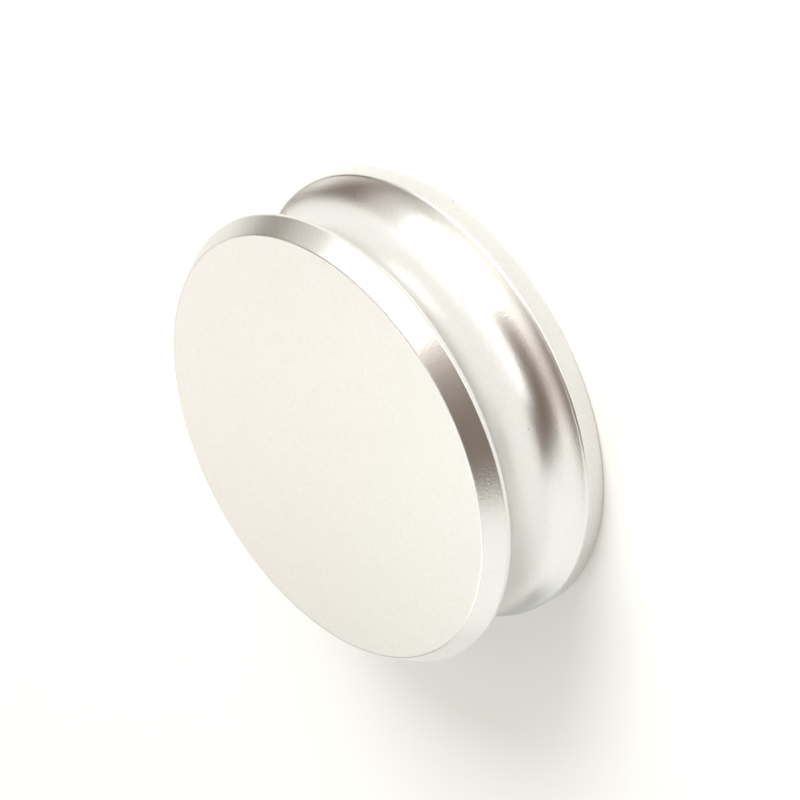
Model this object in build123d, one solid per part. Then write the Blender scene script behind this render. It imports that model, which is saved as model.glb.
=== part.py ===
from build123d import *
from math import radians, tan
import os

# A record weight: one thick disc of aluminium, turned in one piece, with a round finger groove in its side.
# Millimetres. The disc stands on its base with its axis along +Z, and the origin is the centre of the base.

# Overall size
outer_diameter = 80.0
total_height = 25.0

# Top: a flat face inside a cone, which runs out and down to a narrow upright land, the top rim
face_diameter = 75.4
rim_height = 21.6
face_edge_radius = 0.35
rim_edge_radius = 0.5

# Finger groove: one arc between the upright band at the base and the top rim
waist_diameter = 70.0
groove_centre_height = 12.3
groove_mouth_width = 17.0
groove_edge_radius = 0.7

# Base: flat, with a small chamfer round its outer corner
base_chamfer = 0.3

# Spindle bore: a blind hole drilled up from the base
bore_diameter = 7.3
bore_depth = 18.0
bore_chamfer = 0.6
drill_point_angle = 118.0

outer_radius = outer_diameter / 2
face_radius = face_diameter / 2
waist_radius = waist_diameter / 2
bore_radius = bore_diameter / 2
groove_depth = outer_radius - waist_radius
groove_bottom = groove_centre_height - groove_mouth_width / 2
groove_top = groove_centre_height + groove_mouth_width / 2


# Disc before the groove is cut: base, upright side, cone and flat top face.
def disc_section():
    corners = [
        (0, 0),
        (outer_radius, 0),
        (outer_radius, rim_height),
        (face_radius, total_height),
        (0, total_height),
    ]
    return make_face(Polyline(*corners, close=True))


# The groove's arc passes through the waist and both corners of its mouth.
def groove_section():
    half_mouth = groove_mouth_width / 2
    groove_radius = (half_mouth**2 + groove_depth**2) / (2 * groove_depth)
    return Pos(waist_radius + groove_radius, groove_centre_height) * Circle(groove_radius)


# Bore: chamfered mouth, straight wall and the cone that a drill leaves.
def bore_section():
    drill_point_height = bore_radius / tan(radians(drill_point_angle / 2))
    corners = [
        (0, 0),
        (bore_radius + bore_chamfer, 0),
        (bore_radius, bore_chamfer),
        (bore_radius, bore_depth),
        (0, bore_depth + drill_point_height),
    ]
    return make_face(Polyline(*corners, close=True))


def corner_at(section, radius, height):
    return section.vertices().sort_by_distance((radius, height))[0]


# Half section of the weight. Every outer edge is broken, as a turner leaves it.
def weight_section():
    section = disc_section() - groove_section()
    section = chamfer(corner_at(section, outer_radius, 0), base_chamfer)
    section = fillet(corner_at(section, outer_radius, groove_bottom), groove_edge_radius)
    section = fillet(corner_at(section, outer_radius, groove_top), groove_edge_radius)
    section = fillet(corner_at(section, outer_radius, rim_height), rim_edge_radius)
    section = fillet(corner_at(section, face_radius, total_height), face_edge_radius)
    return section - bore_section()


weight_body = revolve(Plane.XZ * weight_section(), Axis.Z)

os.makedirs("parts", exist_ok=True)
export_step(weight_body, "parts/weight_body.step")
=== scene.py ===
import math

import bpy
from mathutils import Matrix, Vector


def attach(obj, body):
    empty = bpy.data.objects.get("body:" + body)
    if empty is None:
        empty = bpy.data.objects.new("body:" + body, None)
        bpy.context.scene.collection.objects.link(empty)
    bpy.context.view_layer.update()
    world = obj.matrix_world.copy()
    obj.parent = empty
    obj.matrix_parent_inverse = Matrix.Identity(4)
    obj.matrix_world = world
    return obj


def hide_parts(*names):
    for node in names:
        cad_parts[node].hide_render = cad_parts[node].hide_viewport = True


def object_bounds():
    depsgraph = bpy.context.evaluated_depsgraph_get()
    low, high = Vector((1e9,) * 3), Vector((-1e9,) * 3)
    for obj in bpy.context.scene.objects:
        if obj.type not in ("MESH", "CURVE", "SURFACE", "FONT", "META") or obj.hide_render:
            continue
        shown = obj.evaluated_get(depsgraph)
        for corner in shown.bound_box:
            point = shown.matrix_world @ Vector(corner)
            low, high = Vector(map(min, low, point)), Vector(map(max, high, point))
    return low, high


mm = 0.001

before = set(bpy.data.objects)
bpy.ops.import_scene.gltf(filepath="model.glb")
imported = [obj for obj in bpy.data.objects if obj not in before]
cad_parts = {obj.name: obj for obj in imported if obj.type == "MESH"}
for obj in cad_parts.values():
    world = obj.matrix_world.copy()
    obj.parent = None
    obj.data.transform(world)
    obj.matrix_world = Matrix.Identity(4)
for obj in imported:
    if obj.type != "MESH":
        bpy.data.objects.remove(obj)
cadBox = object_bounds()
print("frame loaded")


# sRGB hex to the linear colour that shaders and lights use
def linearColour(hexCode):
    channels = [int(hexCode[i : i + 2], 16) / 255 for i in (0, 2, 4)]
    return [c / 12.92 if c <= 0.04045 else ((c + 0.055) / 1.055) ** 2.4 for c in channels]


# one node with its settings, its values by socket name, and links to other nodes' outputs
def addNode(tree, kind, settings=None, values=None, links=None):
    node = tree.nodes.new(kind)
    for key, value in (settings or {}).items():
        setattr(node, key, value)
    for key, value in (values or {}).items():
        node.inputs[key].default_value = value
    for key, source in (links or {}).items():
        tree.links.new(source, node.inputs[key])
    return node


# an object made from its data and put in the scene
def addObject(name, data):
    made = bpy.data.objects.new(name, data)
    bpy.context.scene.collection.objects.link(made)
    return made


# unit vector towards a direction seen from the object: azimuth 0 is the camera's side, 90 is +X
def directionTo(azimuth, elevation):
    a = math.radians(azimuth)
    e = math.radians(elevation)
    return Vector((math.sin(a) * math.cos(e), -math.cos(a) * math.cos(e), math.sin(e)))


# Anodised aluminium
# Turned, bead-blasted and clear-anodised: an even satin that blurs what it mirrors by several degrees,
# a faint warm grey from the oxide layer, a very fine blasted grain, and a few tiny dull specks
# in the groove.
anodised = {
    "paleGrain": "ECEBE9",
    "deepGrain": "DCDBD9",
    "speck": "BEB9B3",
    "roughness": 0.29,
    "grainSize": 0.42,  # mm; the paler and deeper flecks of the etched skin
    "pitSize": 0.34,  # mm; real blasted pits are about 0.1 mm, drawn coarser so that they show
    "pitDepth": 0.026,  # mm
    "fineDetail": 2.0,  # finer layers of noise in the grain and the pits
    "fineStrength": 0.6,  # of each layer beside the one before it
    "blotchSize": 14.0,  # mm; slow change in the satin from one place to the next
    "blotchDetail": 1.0,
    "blotchRoughness": 0.02,  # up and down from the roughness
    "speckSize": 0.45,  # mm across
    "speckSpacing": 5.0,  # mm
    "speckBelow": 20.0,  # mm above the base; none on the cone and the face
}


def anodisedAluminium(look):
    material = bpy.data.materials.new("clearAnodisedAluminium")
    material.use_nodes = True
    tree = material.node_tree
    tree.nodes.clear()
    position = addNode(tree, "ShaderNodeTexCoord").outputs["Object"]
    grain, pits = [
        addNode(
            tree,
            "ShaderNodeTexNoise",
            values={
                "Scale": 1 / (size * mm),
                "Detail": look["fineDetail"],
                "Roughness": look["fineStrength"],
            },
            links={"Vector": position},
        )
        for size in (look["grainSize"], look["pitSize"])
    ]
    blotch = addNode(
        tree,
        "ShaderNodeTexNoise",
        values={"Scale": 1 / (look["blotchSize"] * mm), "Detail": look["blotchDetail"]},
        links={"Vector": position},
    )
    specks = addNode(
        tree,
        "ShaderNodeTexVoronoi",
        values={"Scale": 1 / (look["speckSpacing"] * mm)},
        links={"Vector": position},
    )
    # the mask is full to half of a speck's radius and fades out at its edge
    speckReach = look["speckSize"] / 2 / look["speckSpacing"]
    speckMask = addNode(
        tree,
        "ShaderNodeMapRange",
        values={"From Min": speckReach / 2, "From Max": speckReach, "To Min": 1.0, "To Max": 0.0},
        links={"Value": specks.outputs["Distance"]},
    )
    height = addNode(tree, "ShaderNodeSeparateXYZ", links={"Vector": position})
    speckZone = addNode(
        tree,
        "ShaderNodeMath",
        settings={"operation": "LESS_THAN"},
        values={1: look["speckBelow"] * mm},
        links={0: height.outputs["Z"]},
    )
    speckAmount = addNode(
        tree,
        "ShaderNodeMath",
        settings={"operation": "MULTIPLY"},
        links={0: speckMask.outputs["Result"], 1: speckZone.outputs["Value"]},
    )
    grainColour = addNode(
        tree,
        "ShaderNodeMixRGB",
        values={
            "Color1": [*linearColour(look["deepGrain"]), 1],
            "Color2": [*linearColour(look["paleGrain"]), 1],
        },
        links={"Fac": grain.outputs["Fac"]},
    )
    colour = addNode(
        tree,
        "ShaderNodeMixRGB",
        values={"Color2": [*linearColour(look["speck"]), 1]},
        links={"Fac": speckAmount.outputs["Value"], "Color1": grainColour.outputs["Color"]},
    )
    satin = addNode(
        tree,
        "ShaderNodeMapRange",
        values={
            "To Min": look["roughness"] - look["blotchRoughness"],
            "To Max": look["roughness"] + look["blotchRoughness"],
        },
        links={"Value": blotch.outputs["Fac"]},
    )
    bump = addNode(
        tree,
        "ShaderNodeBump",
        values={"Strength": 1.0, "Distance": look["pitDepth"] * mm},
        links={"Height": pits.outputs["Fac"]},
    )
    metal = addNode(
        tree,
        "ShaderNodeBsdfPrincipled",
        values={"Metallic": 1.0},
        links={
            "Base Color": colour.outputs["Color"],
            "Roughness": satin.outputs["Result"],
            "Normal": bump.outputs["Normal"],
        },
    )
    addNode(tree, "ShaderNodeOutputMaterial", links={"Surface": metal.outputs["BSDF"]})
    return material


# Turned body
# One half section, from the bottom of the bore round the outside to the middle of the top face.
# Lengths are in mm and angles in degrees.
outerRadius = cadBox[1].x / mm
totalHeight = cadBox[1].z / mm
turnedBody = {
    "faceRadius": 37.7,
    "rimHeight": 21.6,
    "faceEdge": 0.35,
    "rimEdge": 0.5,
    "waistRadius": 35.0,
    "grooveHeight": 12.3,
    "grooveMouth": 17.0,
    "grooveEdge": 0.7,
    "baseChamfer": 0.3,
    "boreRadius": 3.65,
    "boreDepth": 18.0,
    "boreChamfer": 0.6,
    "drillPoint": 118.0,
    "segments": 384,
    "grooveSteps": 72,
    "edgeSteps": 10,
    "support": 0.05,  # a ring this far outside each eased edge keeps the flats' shading flat
    "sharpAngle": 30.0,  # an edge that turns more than this is shaded sharp
    "weld": 0.001,  # joins the points that the sweep leaves on the axis
}


# points on the arc from one point to another about a centre, the short way round
def arcPoints(centre, start, end, steps):
    radius = (start - centre).length
    first = math.atan2(start.y - centre.y, start.x - centre.x)
    last = math.atan2(end.y - centre.y, end.x - centre.x)
    sweep = (last - first + math.pi) % (2 * math.pi) - math.pi
    angles = [first + sweep * i / steps for i in range(steps + 1)]
    return [centre + radius * Vector((math.cos(a), math.sin(a))) for a in angles]


# the corner between two straight runs, eased by an arc with a support point at each side
def roundCorner(before, corner, after, radius, sizes):
    back = (before - corner).normalized()
    onward = (after - corner).normalized()
    halfAngle = back.angle(onward) / 2
    centre = corner + (back + onward).normalized() * radius / math.sin(halfAngle)
    reach = radius / math.tan(halfAngle)
    supports = [corner + run * (reach + sizes["support"]) for run in (back, onward)]
    arc = arcPoints(centre, corner + back * reach, corner + onward * reach, sizes["edgeSteps"])
    return [supports[0]] + arc + [supports[1]]


# the groove and its two eased mouth edges, from the base band up to the rim
def groovePoints(sizes):
    depth = outerRadius - sizes["waistRadius"]
    halfMouth = sizes["grooveMouth"] / 2
    radius = (halfMouth**2 + depth**2) / (2 * depth)
    centre = Vector((sizes["waistRadius"] + radius, sizes["grooveHeight"]))
    edge = sizes["grooveEdge"]
    rise = math.sqrt((radius + edge) ** 2 - (centre.x - outerRadius + edge) ** 2)
    lowCentre = Vector((outerRadius - edge, centre.y - rise))
    highCentre = Vector((outerRadius - edge, centre.y + rise))
    lowJoin = centre + (lowCentre - centre).normalized() * radius
    highJoin = centre + (highCentre - centre).normalized() * radius
    lowEdge = arcPoints(lowCentre, lowCentre + Vector((edge, 0)), lowJoin, sizes["edgeSteps"])
    hollow = arcPoints(centre, lowJoin, highJoin, sizes["grooveSteps"])
    highEdge = arcPoints(highCentre, highJoin, highCentre + Vector((edge, 0)), sizes["edgeSteps"])
    support = Vector((0, sizes["support"]))
    return [lowEdge[0] - support] + lowEdge + hollow[1:-1] + highEdge + [highEdge[-1] + support]


def bodyProfile(sizes):
    bore = sizes["boreRadius"]
    drillTip = sizes["boreDepth"] + bore / math.tan(math.radians(sizes["drillPoint"] / 2))
    rim = Vector((outerRadius, sizes["rimHeight"]))
    faceCorner = Vector((sizes["faceRadius"], totalHeight))
    centreTop = Vector((0, totalHeight))
    points = [
        Vector((0, drillTip)),
        Vector((bore, sizes["boreDepth"])),
        Vector((bore, sizes["boreChamfer"])),
        Vector((bore + sizes["boreChamfer"], 0)),
        Vector((outerRadius - sizes["baseChamfer"], 0)),
        Vector((outerRadius, sizes["baseChamfer"])),
    ]
    points += groovePoints(sizes)
    points += roundCorner(Vector((outerRadius, 0)), rim, faceCorner, sizes["rimEdge"], sizes)
    points += roundCorner(rim, faceCorner, centreTop, sizes["faceEdge"], sizes)
    points.append(centreTop)
    return points


# lathe: the profile, an edge chain in the XZ plane, is swept round a circle about the axis
def latheTree(material):
    tree = bpy.data.node_groups.new("lathe", "GeometryNodeTree")
    inputKinds = {
        "Profile": "NodeSocketGeometry",
        "Segments": "NodeSocketInt",
        "Sweep Radius": "NodeSocketFloat",
        "Sharp Angle": "NodeSocketFloat",
        "Weld Distance": "NodeSocketFloat",
    }
    for name, kind in inputKinds.items():
        tree.interface.new_socket(name, in_out="INPUT", socket_type=kind)
    tree.interface.new_socket("Body", in_out="OUTPUT", socket_type="NodeSocketGeometry")
    given = addNode(tree, "NodeGroupInput").outputs
    circle = addNode(
        tree,
        "GeometryNodeCurvePrimitiveCircle",
        links={"Resolution": given["Segments"], "Radius": given["Sweep Radius"]},
    )
    chain = addNode(tree, "GeometryNodeMeshToCurve", links={"Mesh": given["Profile"]})
    swept = addNode(
        tree,
        "GeometryNodeCurveToMesh",
        links={"Curve": circle.outputs["Curve"], "Profile Curve": chain.outputs["Curve"]},
    )
    closed = addNode(
        tree,
        "GeometryNodeMergeByDistance",
        links={"Geometry": swept.outputs["Mesh"], "Distance": given["Weld Distance"]},
    )
    angle = addNode(tree, "GeometryNodeInputMeshEdgeAngle")
    gentle = addNode(
        tree,
        "FunctionNodeCompare",
        settings={"operation": "LESS_THAN"},
        links={"A": angle.outputs["Unsigned Angle"], "B": given["Sharp Angle"]},
    )
    smoothFaces = addNode(
        tree,
        "GeometryNodeSetShadeSmooth",
        settings={"domain": "FACE"},
        values={"Shade Smooth": True},
        links={"Geometry": closed.outputs["Geometry"]},
    )
    smoothEdges = addNode(
        tree,
        "GeometryNodeSetShadeSmooth",
        settings={"domain": "EDGE"},
        links={"Geometry": smoothFaces.outputs["Geometry"], "Shade Smooth": gentle.outputs["Result"]},
    )
    real = addNode(
        tree,
        "GeometryNodeRealizeInstances",
        links={"Geometry": smoothEdges.outputs["Geometry"]},
    )
    finished = addNode(
        tree,
        "GeometryNodeSetMaterial",
        values={"Material": material},
        links={"Geometry": real.outputs["Geometry"]},
    )
    addNode(tree, "NodeGroupOutput", links={"Body": finished.outputs["Geometry"]})
    return tree


def makeBody(sizes, material):
    sweepRadius = outerRadius * mm
    # the sweep turns the chain's -Y up; run backwards, its faces point outwards
    points = [Vector((p.x * mm - sweepRadius, -p.y * mm, 0)) for p in reversed(bodyProfile(sizes))]
    chain = [(i, i + 1) for i in range(len(points) - 1)]
    profile = bpy.data.meshes.new("bodyProfile")
    profile.from_pydata(points, chain, [])
    blank = addObject("bodyBlank", profile)
    lathe = blank.modifiers.new("lathe", "NODES")
    lathe.node_group = latheTree(material)
    wanted = {
        "Segments": sizes["segments"],
        "Sweep Radius": sweepRadius,
        "Sharp Angle": math.radians(sizes["sharpAngle"]),
        "Weld Distance": sizes["weld"] * mm,
    }
    for socket in lathe.node_group.interface.items_tree:
        if socket.name in wanted:
            lathe[socket.identifier] = wanted[socket.name]
    evaluated = blank.evaluated_get(bpy.context.evaluated_depsgraph_get())
    mesh = bpy.data.meshes.new_from_object(evaluated)
    bpy.data.objects.remove(blank)
    return addObject("turnedBody", mesh)


metal = anodisedAluminium(anodised)
body = makeBody(turnedBody, metal)
print("body turned:", len(body.data.vertices), "vertices", [round(x, 5) for x in body.dimensions])
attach(body, "root")
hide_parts("weight_body")


# Floor
floorLook = {
    "size": 12.0,  # metres
    "colour": "F4F3F1",
    "roughness": 0.7,
    "specular": 0.0,
}


def makeFloor(look):
    half = look["size"] / 2
    corners = [(-half, -half, 0), (half, -half, 0), (half, half, 0), (-half, half, 0)]
    mesh = bpy.data.meshes.new("floor")
    mesh.from_pydata(corners, [], [(0, 1, 2, 3)])
    material = bpy.data.materials.new("paleFloor")
    material.use_nodes = True
    shader = material.node_tree.nodes["Principled BSDF"]
    shader.inputs["Base Color"].default_value = [*linearColour(look["colour"]), 1]
    shader.inputs["Roughness"].default_value = look["roughness"]
    shader.inputs["Specular IOR Level"].default_value = look["specular"]
    mesh.materials.append(material)
    floor = addObject("floor", mesh)


makeFloor(floorLook)
print("floor laid")


# Studio light
# Soft boxes at one distance round the object, hidden from the camera. Each has its azimuth, elevation
# and roll in degrees, its width and height in metres, the brightness of its white, and its tint.
# The room's and the boxes' values weren't set by hand: a separate program fitted them to the photograph.
room = {"colour": "FFC18F", "brightness": 0.12}
boxDistance = 1.6  # metres
softBoxes = {
    "keyBox": (53, 23, 1, 0.97, 1.2, 9.56, "F7FEFF"),
    "lowBox": (2, 3, 3, 1.6, 0.79, 2.1, "FCFFFD"),
    "leftBox": (-98, 25, 6, 2.46, 2.1, 1.11, "F9FFFD"),
    "sideBox": (92, 16, 0, 1, 1.61, 0.58, "FCFFF8"),
    "backBox": (156, 29, 6, 1.37, 1, 1.15, "FFFFF9"),
    "rearBox": (-159, 44, 1, 0.82, 0.44, 2.14, "FBFFF5"),
    "dimBox": (-154, 16, 2, 0.82, 0.6, 0.65, "DBFAFF"),
    "farBox": (199, 65, -1, 0.52, 0.97, 2.22, "D7ECFF"),
    "highBox": (61, 64, 3, 1.67, 0.79, 1.13, "FDFFF6"),
    "overBox": (-22, 57, 2, 1.44, 0.52, 0.79, "FFF5EE"),
    "glowBox": (42, 20, -8, 1.84, 1.92, 0.26, "FFE1BF"),
}


def makeRoom(look):
    world = bpy.data.worlds.new("room")
    bpy.context.scene.world = world
    world.use_nodes = True
    background = world.node_tree.nodes["Background"]
    background.inputs["Color"].default_value = [*linearColour(look["colour"]), 1]
    background.inputs["Strength"].default_value = look["brightness"]


def makeSoftBox(name, azimuth, elevation, roll, width, height, white, tint):
    light = bpy.data.lights.new(name, "AREA")
    light.shape = "RECTANGLE"
    light.size = width
    light.size_y = height
    light.energy = white * math.pi * width * height
    light.color = linearColour(tint)
    lamp = addObject(name, light)
    towards = directionTo(azimuth, elevation)
    lamp.location = towards * boxDistance
    facing = towards.to_track_quat("Z", "Y").to_matrix()
    lamp.rotation_euler = (facing @ Matrix.Rotation(math.radians(roll), 3, "Z")).to_euler()
    lamp.visible_camera = False


makeRoom(room)
for name, box in softBoxes.items():
    makeSoftBox(name, *box)
bpy.context.scene.view_settings.view_transform = "Standard"
print("lights set")


# Camera: a long lens, rolled so that the top face points to the lower left
viewpoint = {
    "aim": (1.16, -7.92, 12.5),  # mm
    "distance": 819.0,  # mm
    "elevation": 33.55,  # degrees
    "roll": -118.25,  # degrees
    "lens": 225.0,  # mm
    "sensorWidth": 36.0,  # mm
    "clipStart": 10.0,  # mm
}


def makeCamera(view):
    up = Vector((0, 0, 1))
    back = directionTo(0, view["elevation"])
    side = up.cross(back).normalized()
    facing = Matrix((side, back.cross(side), back)).transposed()
    camera = bpy.data.cameras.new("camera")
    camera.lens = view["lens"]
    camera.sensor_width = view["sensorWidth"]
    camera.clip_start = view["clipStart"] * mm
    cameraObject = addObject("camera", camera)
    cameraObject.matrix_world = (
        Matrix.Translation((Vector(view["aim"]) + back * view["distance"]) * mm)
        @ facing.to_4x4()
        @ Matrix.Rotation(math.radians(view["roll"]), 4, "Z")
    )
    bpy.context.scene.camera = cameraObject


makeCamera(viewpoint)
print("camera set")
